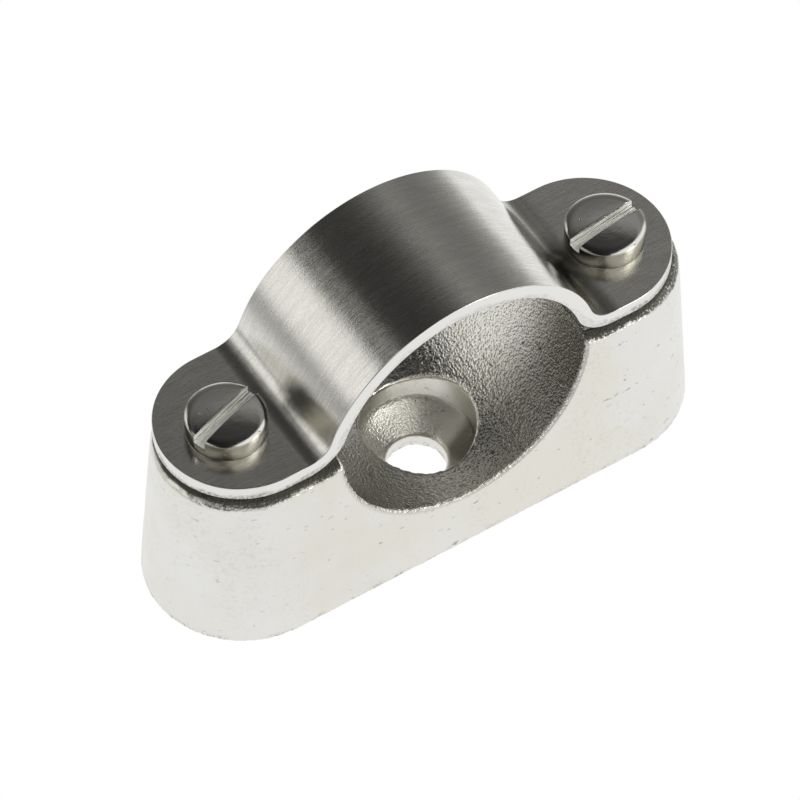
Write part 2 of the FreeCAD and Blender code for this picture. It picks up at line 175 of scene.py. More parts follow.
# Shader sums: a socket that can be added, multiplied and blended
class Wire:
    def __init__(self, tree, socket=None):
        self.tree = tree
        self.socket = socket

    def node(self, kind, settings=None, inputs=None, output=0):
        made = self.tree.nodes.new("ShaderNode" + kind)
        for name, value in (settings or {}).items():
            if name == "stops":
                ramp = made.color_ramp.elements
                while len(ramp) < len(value):
                    ramp.new(1)
                for element, (place, colour) in zip(ramp, value):
                    element.position = place
                    element.color = colour if isinstance(colour, tuple) else (colour,) * 3 + (1,)
            else:
                setattr(made, name, value)
        for name, value in (inputs or {}).items():
            if isinstance(value, Wire):
                self.tree.links.new(value.socket, made.inputs[name])
            else:
                made.inputs[name].default_value = value
        return Wire(self.tree, made.outputs[output] if len(made.outputs) else None)

    def also(self, output):  # another output of the same node
        return Wire(self.tree, self.socket.node.outputs[output])

    def math(self, operation, a, b=0.0):
        return self.node("Math", {"operation": operation}, {0: a, 1: b})

    def __add__(self, other):
        return self.math("ADD", self, other)

    def __radd__(self, other):
        return self.math("ADD", other, self)

    def __sub__(self, other):
        return self.math("SUBTRACT", self, other)

    def __rsub__(self, other):
        return self.math("SUBTRACT", other, self)

    def __mul__(self, other):
        return self.math("MULTIPLY", self, other)

    def __rmul__(self, other):
        return self.math("MULTIPLY", other, self)

    def between(self, low, high):  # 0 at low, 1 at high, smooth between
        smooth = {"interpolation_type": "SMOOTHSTEP"}
        return self.node("MapRange", smooth, {0: self, 1: low, 2: high})

    def blend(self, first, second):  # first colour where this is 0, second where it is 1
        return self.node("Mix", {"data_type": "RGBA"}, {0: self, 6: first, 7: second}, 2)

    def objectPlace(self, location=(0, 0, 0), rotation=(0, 0, 0), scale=(1, 1, 1)):
        spot = self.node("TexCoord", output="Object")
        return self.node("Mapping", {}, {"Vector": spot, "Location": location,
                                         "Rotation": rotation, "Scale": scale})

    def noise(self, place, scale, detail=2.0, roughness=0.5):  # scale is in repeats a metre
        return self.node("TexNoise", {}, {"Vector": place, "Scale": scale, "Detail": detail,
                                          "Roughness": roughness})

    def band(self, start, full, fade, end):  # 1 from full to fade, 0 before start and after end
        return self.between(start, full) * (1 - self.between(fade, end))

    def absolute(self):
        return self.math("ABSOLUTE", self)

    def upToOne(self):
        return self.math("MINIMUM", self, 1.0)

    def hypot(self, other):
        return self.math("SQRT", self * self + other * other)

    def millimetres(self, place):  # x, y and z of a place
        spot = self.node("Mapping", {}, {"Vector": place, "Scale": (1 / mm,) * 3})
        x = self.node("SeparateXYZ", {}, {0: spot})
        return x, x.also("Y"), x.also("Z")

    def bump(self, height):  # heights are in millimetres
        return self.node("Bump", {}, {"Height": height, "Distance": mm})


def newMaterial(name):
    material = bpy.data.materials.new(name)
    material.use_nodes = True
    material.node_tree.nodes.clear()
    return material, Wire(material.node_tree)


def finishMaterial(graph, colour, roughness, height):
    sockets = {"Base Color": colour, "Metallic": 1.0, "Roughness": roughness}
    surface = graph.node("BsdfPrincipled", {}, {**sockets, "Normal": graph.bump(height)})
    graph.node("OutputMaterial", {}, {"Surface": surface})


def grey(value, warmth):
    return (value * (1 + 0.5 * warmth), value, value * (1 - 2 * warmth), 1)


# Camera: the photograph's own angle, read from the clamp's outlines
cameraView = {
    "azimuth": -33.192, "elevation": 52.573, "roll": -0.535,  # degrees
    "distance": 485.18, "lens": 243.94, "sensor": 36,
    "target": (0, 0, 10),
    "aside": (1.552, -0.229),  # how far right and up of the picture's middle the target stands
}


def setCamera():
    v = cameraView
    azimuth, elevation, roll = (math.radians(v[k]) for k in ("azimuth", "elevation", "roll"))
    right = Vector((math.cos(azimuth), math.sin(azimuth), 0))
    level = math.cos(elevation)
    back = Vector((math.sin(azimuth) * level, -math.cos(azimuth) * level, math.sin(elevation)))
    up = back.cross(right)
    place = Vector(v["target"]) + back * v["distance"] - right * v["aside"][0] - up * v["aside"][1]
    cameraX = math.cos(roll) * right - math.sin(roll) * up
    cameraY = math.sin(roll) * right + math.cos(roll) * up
    turned = Matrix((cameraX, cameraY, back)).transposed().to_4x4()
    putDown()
    bpy.ops.object.camera_add()
    camera = bpy.context.object
    camera.name = "photoCamera"
    camera.data.lens = v["lens"]
    camera.data.sensor_width = v["sensor"]
    camera.data.clip_start = 10 * mm
    camera.matrix_world = Matrix.Translation(place * mm) @ turned
    bpy.context.scene.camera = camera


setCamera()
print("camera set")

# Base: drafted stadium, seat, countersunk hole and two tapped holes, then a cast skin
castBase = {
    "length": 55.43, "width": 18.5, "height": 18.9, "draft": 4.4,
    "topRound": 1.3, "footRound": 0.2,
    "seatRadius": 12.65, "seatRise": 0.2,
    "bore": 5.5, "land": 1.4, "recess": 10.7,
    "screwSpacing": 39.63, "tappedBore": 4.1, "tappedDepth": 12.0,
    "seatCutter": 30, "outlineSides": 128, "seatSides": 180, "roundSteps": 6,
    "cell": 0.23, "smoothing": 2,
}


def shapeBase():
    s = castBase
    height = s["height"] * mm
    taper = height * math.tan(math.radians(s["draft"]))
    sides = s["outlineSides"]
    base = stadiumPrism("cast_base", s["length"] * mm, s["width"] * mm, 0, height, sides, taper)
    for level, rounding in ((height, s["topRound"]), (0, s["footRound"])):
        choose(base, "edges", lambda edge: all(abs(v.co.z - level) < tiny for v in edge.verts))
        bpy.ops.mesh.bevel(offset=rounding * mm, segments=s["roundSteps"], affect="EDGES")
    putDown()
    bpy.ops.mesh.primitive_cylinder_add(
        vertices=s["seatSides"], radius=s["seatRadius"] * mm, depth=s["seatCutter"] * mm,
        location=(0, 0, height + s["seatRise"] * mm), rotation=(math.pi / 2, 0, 0))
    cut(base, settle("seatCutter"))
    bore, recess, land = s["bore"] / 2 * mm, s["recess"] / 2 * mm, s["land"] * mm
    shoulder = land + recess - bore  # a 90 degree countersink
    rings = [(bore, -mm), (bore, land), (recess, shoulder), (recess, height)]
    cut(base, turn("fixingCutter", rings, holeSides))
    for side in (-1, 1):
        drill(base, s["tappedBore"] / 2 * mm, height - s["tappedDepth"] * mm, height + mm,
              side * s["screwSpacing"] / 2 * mm)
    modify(base, "REMESH", mode="VOXEL", voxel_size=s["cell"] * mm, use_smooth_shade=True)
    modify(base, "SMOOTH", factor=0.5, iterations=s["smoothing"])
    return base


# The skin of the casting
castSkin = {
    "sink": 0.4,  # how much lower the rim of the top lies, which leaves a gap under the strap
    "patterns": {  # grain, height and detail
        "seatWaves": (0.45, 0.04, 1),
        "sideWaves": (2.6, 0.05, 1),
        "lipBreaks": (0.42, 0.20, 1),
        "shoulderGrain": (0.6, 0.14, 1),
        "footWear": (0.8, 0.10, 2),
    },
}


def roughenBase(base):
    s = castBase
    x, y, z = (places(base) / mm).T
    fromTop = z - s["height"]
    fromSeat = np.hypot(x, fromTop - s["seatRise"]) - s["seatRadius"]
    draft = math.radians(s["draft"])
    beyond = np.maximum(np.abs(x) - (s["length"] - s["width"]) / 2, 0)
    fromSide = (s["width"] / 2 - z * math.tan(draft) - np.hypot(beyond, y)) * math.cos(draft)
    fromHole = np.hypot(x, y)
    fromScrew = np.hypot(np.abs(x) - s["screwSpacing"] / 2, y)
    fromBore = fromHole - s["bore"] / 2

    # Each kind of surface, found by its distances in millimetres
    inRecess = (fromHole < s["recess"] / 2 + 0.12) & (fromSeat > 0.05)
    topRim = between(fromSide, 2.6, 1.0) * between(fromTop, -2.2, -0.4)
    topRim *= between(fromSeat, 0, 1.5)
    seat = between(fromSeat, 0.5, 0.2) * (fromTop < 0) * ~inRecess
    top = between(fromTop, -1.6, -0.1) * between(fromSeat, 0.1, 0.4)
    top *= 0.45 + 0.55 * between(x + s["length"] / 2, 1, 7)  # the left end is smoother
    lip = between(fromSeat, 0.42, 0.07) * between(fromSide, 0.42, 0.07) * (fromTop < 0.1)
    shoulder = between(fromTop, -1.9, -0.7) * between(fromSide, 2.08, 0.78) * (fromSeat > 0.3)
    side = between(fromSide, 0.56, 0.16) * between(fromSeat, 0, 0.6)
    side *= between(z, 0, 0.8) * between(fromTop, 0, -1.5)
    foot = between(z, 1.2, 0) * between(fromSide, 1.12, 0.32) * between(z, 0, 0.15)
    cone = inRecess * between(fromBore, 0.1, 0.4) * (np.abs(z - s["land"] - fromBore) < 0.3)
    free = (fromScrew >= 2.5) & (z > 0.02)  # the tapped holes and the underside stay plain

    weights = {
        "seatWaves": seat, "sideWaves": side, "lipBreaks": lip, "shoulderGrain": shoulder,
        "footWear": foot,
    }
    for name, (grain, height, detail) in castSkin["patterns"].items():
        roughen(base, name, weights[name] * free, grain * mm, height * mm, detail)
    points = places(base)
    points[:, 2] -= castSkin["sink"] * topRim * free * mm
    base.data.vertices.foreach_set("co", points.ravel())
    base.data.update()
    zones = base.data.attributes.new("zones", "FLOAT_COLOR", "POINT")
    amounts = np.stack([seat, top, lip, cone], 1)
    zones.data.foreach_set("color", amounts.astype(np.float32).ravel())
    for name in [g.name for g in base.vertex_groups]:
        base.vertex_groups.remove(base.vertex_groups[name])


castBaseMesh = shapeBase()
roughenBase(castBaseMesh)
print("base modelled:", len(castBaseMesh.data.polygons), "faces")

# Strap: flat ears, two bends and the arch between them, cut from one sheet
bentStrap = {
    "thickness": 1.5, "width": 15.5, "length": 51.63,
    "archRadius": 12.7, "archCentre": 17.7, "bendRadius": 2.7, "underEar": 18.9,
    "hole": 4.8, "holeSpacing": 39.63,
    "slip": (-0.16, 0.26),  # off the base's middle, along and across
    "edgeRound": 0.1, "edgeAngle": 50,
    "margin": 2, "bendSteps": 20, "archSteps": 84, "outlineSides": 128,
}


def shapeStrap():
    s = bentStrap
    half = s["thickness"] / 2
    wide = s["width"] + 2 * s["margin"]
    arch = s["archRadius"] + half
    bend = s["bendRadius"] + half
    earLevel = s["underEar"] + half
    bendLevel = earLevel + bend
    rise = bendLevel - s["archCentre"]
    bendX = math.sqrt((arch + bend) ** 2 - rise ** 2)
    lean = math.atan2(rise, bendX)
    end = s["length"] / 2 + s["margin"]
    flat = {"value": ((end - bendX) * mm, 0, 0)}
    putDown()
    bpy.ops.mesh.primitive_plane_add(size=1, location=(-end * mm, 0, earLevel * mm))
    strap = settle("bent_strap")
    choose(strap, "verts", lambda vert: vert.co.x < -end * mm)
    bpy.ops.mesh.delete(type="VERT")
    choose(strap, "verts", lambda vert: True)
    middle = (-end * mm, 0, earLevel * mm)
    bpy.ops.transform.resize(value=(0, wide * mm, 1), center_override=middle)
    choose(strap, "edges", lambda edge: True)
    bpy.ops.mesh.extrude_region_move(TRANSFORM_OT_translate=flat)
    swing = math.pi / 2 - lean
    sweeps = (  # steps, angle and centre of each round part, in the order that the sheet runs
        (s["bendSteps"], swing, (-bendX, bendLevel)),
        (s["archSteps"], 2 * lean - math.pi, (0, s["archCentre"])),
        (s["bendSteps"], swing, (bendX, bendLevel)),
    )
    for steps, angle, (x, z) in sweeps:
        bpy.ops.mesh.spin(steps=steps, angle=angle, center=(x * mm, 0, z * mm), axis=(0, 1, 0))
    bpy.ops.mesh.extrude_region_move(TRANSFORM_OT_translate=flat)
    bpy.ops.mesh.select_all(action="SELECT")
    bpy.ops.mesh.remove_doubles(threshold=tiny)
    bpy.ops.mesh.normals_make_consistent(inside=False)
    modify(strap, "SOLIDIFY", thickness=s["thickness"] * mm, offset=0, use_even_offset=True)
    low, high = 10 * mm, 40 * mm  # the cutters reach past the sheet both ways
    sides = s["outlineSides"]
    outline = stadiumPrism("outlineCutter", s["length"] * mm, s["width"] * mm, low, high, sides)
    cut(strap, outline, "INTERSECT")
    for side in (-1, 1):
        drill(strap, s["hole"] / 2 * mm, low, high, side * s["holeSpacing"] / 2 * mm)
    choose(strap, "faces", lambda face: True)
    bpy.ops.transform.translate(value=(s["slip"][0] * mm, s["slip"][1] * mm, 0))
    takeUp(strap)
    bpy.ops.object.shade_smooth()
    modify(strap, "BEVEL", width=s["edgeRound"] * mm, segments=3, limit_method="ANGLE",
           angle_limit=math.radians(s["edgeAngle"]))
    modify(strap, "WEIGHTED_NORMAL", mode="FACE_AREA", weight=80)
    return strap


bentStrapMesh = shapeStrap()
print("strap modelled:", len(bentStrapMesh.data.polygons), "faces")

# Screws: a domed, slotted head over a full thread
slottedScrew = {
    "head": 7.3, "rim": 1.75, "crown": 0.45, "shoulder": 1.6, "lean": 36, "underRound": 0.08,
    "slotWidth": 1.2, "slotDepth": 1.1,
    "thread": 4.0, "core": 3.14, "pitch": 0.7, "reach": 12.0, "tip": 0.5, "tipCore": 0.3,
    "crestFlat": 0.12, "rootFlat": 0.14, "runOut": 0.6,  # the flats are shares of the pitch
    "sides": 96, "rowsPerTurn": 8, "edgeRound": 0.07, "edgeAngle": 35,
    "bevelAbove": 0.5, "slotCutter": 2, "underHead": 20.4,
    "places": {  # where each stands along the base, and the degrees that its slot is turned
        "left_screw": (-19.814, 18.0),
        "right_screw": (19.814, 6.5),
    },
}


def headRings():
    s = slottedScrew
    head, rim, shoulder, under = s["head"] / 2, s["rim"], s["shoulder"], s["underRound"]
    top = rim + s["crown"]
    lean = math.radians(s["lean"])
    shoulderX = head - shoulder * math.sin(lean)
    shoulderZ = rim - shoulder * math.cos(lean)
    drop = top - shoulderZ
    dome = (shoulderX ** 2 + drop ** 2 - shoulder ** 2) / (2 * (drop - shoulder))
    crown = math.asin(shoulderX / (dome - shoulder))
    underSteps, shoulderSteps, domeSteps = 3, 8, 24
    rings = []
    for i in range(underSteps + 1):
        a = (i / underSteps - 1) * math.pi / 2
        rings.append((head - under + under * math.cos(a), under + under * math.sin(a)))
    for i in range(shoulderSteps + 1):
        a = lean + (crown - lean) * i / shoulderSteps
        rings.append((shoulderX + shoulder * math.sin(a), shoulderZ + shoulder * math.cos(a)))
    for i in range(1, domeSteps):
        a = crown * (1 - i / domeSteps)
        rings.append((dome * math.sin(a), top - dome + dome * math.cos(a)))
    rings.append((0.01, top))
    return rings


def shapeScrew(name):
    s = slottedScrew
    x, turnDegrees = s["places"][name]
    shank, reach, tip, pitch = s["thread"] / 2, s["reach"], s["tip"], s["pitch"]
    spare = 0.01  # between the thread's rows and the flat ends of the shank
    threadLength = reach - 2 * spare
    rows = int(round(threadLength / pitch * s["rowsPerTurn"]))
    rings = [(shank * 0.2, -reach), (shank - tip, -reach)]
    rings += [(shank, -reach + spare + threadLength * i / rows) for i in range(rows + 1)]
    rings += headRings()
    screw = turn(name, [(r * mm, z * mm) for r, z in rings], s["sides"], pointed=True)
    points = places(screw) / mm
    angle = np.arctan2(points[:, 1], points[:, 0])
    height = points[:, 2]
    wave = np.mod(height / pitch - angle / (2 * math.pi), 1)
    crestFlat, rootFlat = s["crestFlat"], s["rootFlat"]
    flank = np.clip((np.abs(wave - 0.5) * 2 - crestFlat) / (1 - crestFlat - rootFlat), 0, 1)
    thread = shank - (shank - s["core"] / 2) * flank * between(height, 0, -s["runOut"])
    taper = shank - tip + (height + reach)
    threaded = (height < -spare / 2) & (height > spare / 2 - reach)
    plain = np.hypot(points[:, 0], points[:, 1])
    radius = np.where(threaded, np.minimum(thread, np.maximum(taper, s["tipCore"])), plain)
    points[:, 0] = radius * np.cos(angle)
    points[:, 1] = radius * np.sin(angle)
    screw.data.vertices.foreach_set("co", (points * mm).ravel())
    screw.data.update()
    slotFloor = s["rim"] + s["crown"] - s["slotDepth"]
    cutter = s["slotCutter"]
    putDown()
    bpy.ops.mesh.primitive_cube_add(
        size=1, location=(0, 0, (slotFloor + cutter / 2) * mm),
        scale=((s["head"] + cutter) * mm, s["slotWidth"] * mm, cutter * mm))
    cut(screw, settle("slotCutter"))
    inHead = places(screw)[:, 2] > s["bevelAbove"] * mm
    heads = group(screw, "head", inHead.astype(float))
    sharp = math.radians(s["edgeAngle"])
    modify(screw, "BEVEL", width=s["edgeRound"] * mm, segments=2, limit_method="ANGLE",
           angle_limit=sharp, vertex_group=heads)
    choose(screw, "verts", lambda vert: True)
    turned = math.radians(-turnDegrees)
    bpy.ops.transform.rotate(value=turned, orient_axis="Z", center_override=(0, 0, 0))
    bpy.ops.transform.translate(value=(x * mm, 0, s["underHead"] * mm))
    takeUp(screw)
    bpy.ops.object.shade_smooth_by_angle(angle=sharp)
    return screw


screws = {name: shapeScrew(name) for name in slottedScrew["places"]}
print("screws modelled")

# Finishes. Scales are repeats a metre, and relief is in millimetres.
castFinish = {
    "clean": grey(0.78, 0.012), "warm": grey(0.74, 0.045), "grime": grey(0.52, 0.09),
    # the dark colour on the next line serves both unpolished skin and painted shade
    "darkSkinAndShade": grey(0.13, 0.08), "roughness": 0.30,
    "scales": {
        "dimples": 3400, "grain": 5200, "crust": 4300, "fine": 7000, "patches": 130,
        "mottle": 520, "dashes": 900, "bands": 210, "blots": 2300,
    },
    "relief": {
        "skin": 0.052, "upperSkin": 0.036, "fine": 0.006, "mottle": 0.010, "rim": 0.36,
        "smoothRim": 0.24, "cone": 0.09, "lip": 0.20, "crest": 0.10, "marks": 0.012,
    },
    "paintedShadeAndSkin": {  # how much of the dark colour lies on each part: unpolished skin on some, and painted shade beside the strap, in the seat and in the cone
        "rim": 1.1, "underStrap": 0.6, "rightEnd": 0.62, "rightFlecks": 0.38, "crackShade": 0.9,
        "lip": 0.30, "foot": 0.6, "dashes": 0.5, "seat": 0.35, "seatRight": 0.52,
        "coneRight": 0.55, "coneFront": 0.45,
    },
}


def inStrap(g, x, y):  # how far a point lies inside the strap's outline, seen from above
    s = bentStrap
    reach = (s["length"] - s["width"]) / 2
    beyond = g.math("MAXIMUM", (x - s["slip"][0]).absolute() - reach, 0.0)
    return s["width"] / 2 - beyond.hypot(y - s["slip"][1])


def makeCastMetal():
    s, scales, relief = castFinish, castFinish["scales"], castFinish["relief"]
    material, g = newMaterial("castMetal")
    place = g.objectPlace()
    zones = g.node("Attribute", {"attribute_name": "zones"})
    seat = g.node("SeparateColor", {}, {0: zones})
    top, lip, cone = seat.also("Green"), seat.also("Blue"), zones.also("Alpha")
    rough = g.node("Math", {"operation": "MAXIMUM", "use_clamp": True}, {0: seat, 1: lip})
    dimples = g.node("TexVoronoi", {"feature": "SMOOTH_F1"},
                     {"Vector": place, "Scale": scales["dimples"], "Smoothness": 0.6})
    grain = g.noise(place, scales["grain"], 1) - 0.5 - dimples * 0.7
    crust = g.noise(place, scales["crust"], 2, 0.6)
    flecks = crust.between(0.46, 0.54)
    fine = g.noise(place, scales["fine"]) - 0.5
    patches = g.noise(place, scales["patches"])
    mottle = g.noise(place, scales["mottle"], 3, 0.6)
    # The unpolished rim, darkened by its skin and by painted shade beside the strap: its border is
    # uneven, and its specks thin out downwards
    ragged = (top * 1.5 + mottle * 1.2 - 1.0).between(0.0, 0.9)
    specks = (crust + ragged * 0.38).between(0.72, 0.82)
    flattened = g.objectPlace(scale=(1, 1, 2.4))
    dashes = g.noise(flattened, scales["dashes"], 2, 0.55).between(0.69, 0.72)
    drawnOut = g.objectPlace(scale=(1, 1, 0.25))
    bands = g.noise(drawnOut, scales["bands"], 1).between(0.46, 0.66)
    blots = g.noise(place, scales["blots"], 4, 0.65).between(0.48, 0.68) * (0.2 + 0.8 * bands)

    x, y, z = g.millimetres(place)
    front = (-1 * y).between(-3, 5)
    right = x.between(-4, 9)
    rightEnd = x.between(17, 22)
    leftEnd = 1 - x.between(-19, -8)
    middle = 1 - (x + 2).absolute().between(14, 22)
    upper = z.between(6.8, 9.5)
    foot = (1 - z.between(0.1, 0.9)) * (1 - rough)
    fromStrap = inStrap(g, x, y)
    hidden = fromStrap.between(0.4, 0.9)  # the metal under the strap gets less of the rim's dark skin and painted shade
    # painted shadow in the narrow gap under the strap's edge; the same band is also made rougher
    crackShade = fromStrap.between(-0.08, 0.06) * (1 - hidden) * top.between(0.2, 0.5)
    crest = fromStrap.band(-0.58, -0.36, -0.34, -0.14)
    crest = crest * mottle.between(0.37, 0.45) * (1 - x.between(-9, -7) * 0.5)
    # painted shadow of the strap on the rim below its edge, at the left end
    below = fromStrap.between(-1.1, -0.6) * leftEnd * 0.6

    height = grain * rough * (relief["skin"] + upper * relief["upperSkin"])
    height = height + fine * relief["fine"] + (mottle - 0.5) * relief["mottle"]
    rim = ragged * (relief["rim"] - rightEnd * relief["smoothRim"])
    height = height + (crust - 0.5) * (rim + cone * relief["cone"] + lip * relief["lip"])
    height = height + crest * top * relief["crest"]
    marks = dashes * (1 - leftEnd * 0.7) + blots * 0.4
    height = height - marks * (1 - rough) * relief["marks"]

    # The dark colour is laid on by amounts: unpolished skin, flecks and marks, and painted shade
    # under and beside the strap, in the seat and in the countersink
    darkSkinAndShade = s["paintedShadeAndSkin"]
    colour = (patches.between(0.35, 0.65) * 0.6 + middle * 0.5).blend(s["clean"], s["warm"])
    colour = (blots * (1 - rough) * 0.28).blend(colour, s["grime"])
    # the rim gets its unpolished skin with painted shade beside the strap, and the painted shadow
    # band below it
    paintedShadeAndSkin = (specks + below) * (darkSkinAndShade["rim"] - hidden * darkSkinAndShade["underStrap"] - rightEnd * 0.4)
    # the right end's rim is darker: unpolished skin and painted shade of its rounding together
    paintedShadeAndSkin = paintedShadeAndSkin + rightEnd * (1 - hidden) * (darkSkinAndShade["rightEnd"] + flecks * darkSkinAndShade["rightFlecks"])
    # the crest line is kept clear of the dark, a painted highlight along the rim
    paintedShadeAndSkin = ragged.between(0.0, 0.5) * paintedShadeAndSkin * (1 - crest * 0.9)
    paintedShadeAndSkin = paintedShadeAndSkin + lip * flecks * darkSkinAndShade["lip"]
    paintedShadeAndSkin = paintedShadeAndSkin + foot * flecks * mottle.between(0.45, 0.6) * darkSkinAndShade["foot"]
    # the seat darkens towards its front and right: partly its brownish skin, partly painted shade
    # under the arch
    paintedShadeAndSkin = paintedShadeAndSkin + seat * front * (1 - lip) * (darkSkinAndShade["seat"] + right * darkSkinAndShade["seatRight"])
    # painted light and shade in the countersink: darker towards the right and front, a little
    # lighter on the left where the light falls
    coneRight = x.between(1.2, 3.4) * darkSkinAndShade["coneRight"]
    coneFront = front.between(0.25, 0.5) * darkSkinAndShade["coneFront"]
    paintedShadeAndSkin = paintedShadeAndSkin + cone * (coneRight + coneFront - 0.05)
    paintedShadeAndSkin = paintedShadeAndSkin + dashes * (darkSkinAndShade["dashes"] - leftEnd * 0.25) + crackShade * darkSkinAndShade["crackShade"]
    colour = paintedShadeAndSkin.upToOne().blend(colour, s["darkSkinAndShade"])
    roughness = s["roughness"] + (mottle - 0.5) * 0.16 - seat * 0.16 + crackShade * 0.4
    finishMaterial(g, colour, roughness, height)
    return material


strapFinish = {
    "bright": grey(0.78, 0.022), "dark": grey(0.61, 0.030), "edge": grey(0.80, 0.014),
    # the last colour on the next line is painted shade for the foot of the right bend
    "torn": grey(0.46, 0.05), "creaseShade": grey(0.05, 0.03),
    "roughness": 0.13, "edgeRoughness": 0.34,
    "patterns": {  # stretch along the strap, scale, detail, roughness, relief and share of the wear
        "hairs": (0.02, 26000, 2, 0.60, 0.005, 0.35),
        "streaks": (0.04, 6000, 2, 0.55, 0.002, 0.15),
        "grain": (1, 8000, 2, 0.60, 0.007, 0.30),
        "clouds": (1, 260, 2, 0.50, 0.014, 0.08),
        "smudges": (0.5, 700, 3, 0.55, 0.003, 0.12),
    },
    "scales": {"waves": 420, "tears": 3400, "shear": 4200},
    "relief": {"tears": 0.16, "shear": 0.02},
}


def makeBrushedSteel():
    s = strapFinish
    material, g = newMaterial("brushedSteel")
    patterns = {}
    height = worn = 0
    for name, (stretch, scale, detail, roughness, relief, share) in s["patterns"].items():
        stretched = g.objectPlace(scale=(stretch, 1, stretch))
        patterns[name] = g.noise(stretched, scale, detail, roughness)
        height = height + (patterns[name] - 0.5) * relief
        worn = worn + patterns[name] * share
    colour = worn.between(0.41, 0.59).blend(s["dark"], s["bright"])
    x, y = g.millimetres(g.objectPlace())[:2]
    bends = x.absolute().band(12.5, 13.5, 15.5, 17.5)
    creaseShade = x.band(13.2, 14.4, 15.4, 16.8) * (0.75 - y.between(0.5, 4) * 0.45)
    colour = creaseShade.blend(colour, s["creaseShade"])  # painted shade: the right bend is darker beside its screw, where the screw's head shades it
    uneven = (patterns["streaks"] - 0.5) * 0.06 + (patterns["clouds"] - 0.5) * 0.06
    finishMaterial(g, colour, s["roughness"] + uneven + bends * 0.10, height)
    return material


def makeShearedEdge():  # the lower part of a sheared edge is torn, less so on the arch
    s, scales, relief = strapFinish, strapFinish["scales"], strapFinish["relief"]
    material, g = newMaterial("shearedEdge")
    place = g.objectPlace()
    onEar = g.millimetres(place)[0].absolute().between(13, 17)
    depth = g.node("Attribute", {"attribute_name": "depth"}, output="Fac")
    waves = g.noise(place, scales["waves"])
    torn = 1 - (depth + (waves - 0.5) * 1.1).between(0.16, 0.52)
    torn = torn * (0.35 + onEar * 0.65)
    tears = g.noise(place, scales["tears"], 2, 0.6)
    shear = g.noise(g.objectPlace(scale=(1, 1, 0.15)), scales["shear"])
    height = (tears - 0.5) * torn * relief["tears"] + (shear - 0.5) * relief["shear"]
    colour = (torn * tears.between(0.35, 0.6)).blend(s["edge"], s["torn"])
    finishMaterial(g, colour, s["edgeRoughness"] + torn * 0.1, height)
    return material


screwFinish = {
    # worn darkens the nicks and, as painted shade, the band round the head's wall
    "plate": grey(0.70, 0.018), "worn": grey(0.34, 0.08),
    "milled": grey(1.0, 0.015), "groove": grey(0.42, 0.05), "roughness": 0.11,
    "scales": {
        "swirl": 900, "milled": 4200, "cells": 900, "nicks": 330, "smears": 520, "rings": 4200,
    },
    "relief": {"swirl": 0.012, "wall": 0.03, "milled": 0.34, "nicks": 0.05, "rings": 0.006},
}


def makePlatedScrew(name):
    s, scales, relief = screwFinish, screwFinish["scales"], screwFinish["relief"]
    head = slottedScrew
    screwX, turnDegrees = head["places"][name]
    screwX, turned = screwX * mm, math.radians(turnDegrees)
    material, g = newMaterial("platedScrew_" + name.split("_")[0])
    centred = g.objectPlace(location=(-screwX * math.cos(turned), screwX * math.sin(turned), 0),
                            rotation=(0, 0, -turned))
    along, across, level = g.millimetres(centred)
    fromAxis = along.hypot(across)
    rimLevel = head["underHead"] + head["rim"]
    floorLevel = rimLevel + head["crown"] - head["slotDepth"]
    halfSlot, radius = head["slotWidth"] / 2, head["head"] / 2
    inSlot = 1 - across.absolute().between(halfSlot, halfSlot + 0.06)
    inSlot = inSlot * (1 - level.between(rimLevel, rimLevel + 0.2))
    inSlot = inSlot * level.between(floorLevel - 0.06, floorLevel - 0.02)
    wall = fromAxis.between(radius - 0.15, radius - 0.05) * (1 - inSlot)

    swirl = g.noise(centred, scales["swirl"]) - 0.5
    drawnOut = g.node("Mapping", {}, {"Vector": centred, "Scale": (0.03, 1, 1)})
    milled = g.noise(drawnOut, scales["milled"], 3, 0.7)
    cells = g.node("TexVoronoi", {}, {"Vector": centred, "Scale": scales["cells"]})
    nicks = 1 - cells.between(0.06, 0.13)
    nicks = nicks * g.noise(centred, scales["nicks"], 1).between(0.40, 0.50)
    smears = g.noise(centred, scales["smears"], 3, 0.6).between(0.48, 0.62)
    outward = g.node("CombineXYZ", {}, {0: fromAxis * mm})
    rings = g.noise(outward, scales["rings"], 2, 0.6)  # left by the lathe
    height = swirl * (relief["swirl"] + wall * relief["wall"]) - nicks * relief["nicks"]
    height = height + (milled - 0.5) * inSlot * relief["milled"]
    height = height + (rings - 0.5) * (1 - inSlot) * relief["rings"]

    # nicks are real marks; the wall band is painted shade and dark reflection, broken by smears
    marksAndShade = (nicks + wall * (0.85 + smears * 0.25)).upToOne()
    streaked = milled.between(0.36, 0.47).blend(s["groove"], s["milled"])
    colour = inSlot.blend(marksAndShade.blend(s["plate"], s["worn"]), streaked)
    roughness = s["roughness"] + inSlot * 0.60 + wall * 0.10 + swirl * 0.06
    finishMaterial(g, colour, roughness, height)
    return material


castBaseMesh.data.materials.append(makeCastMetal())
bentStrapMesh.data.materials.append(makeBrushedSteel())
bentStrapMesh.data.materials.append(makeShearedEdge())
for name, screw in screws.items():
    screw.data.materials.append(makePlatedScrew(name))


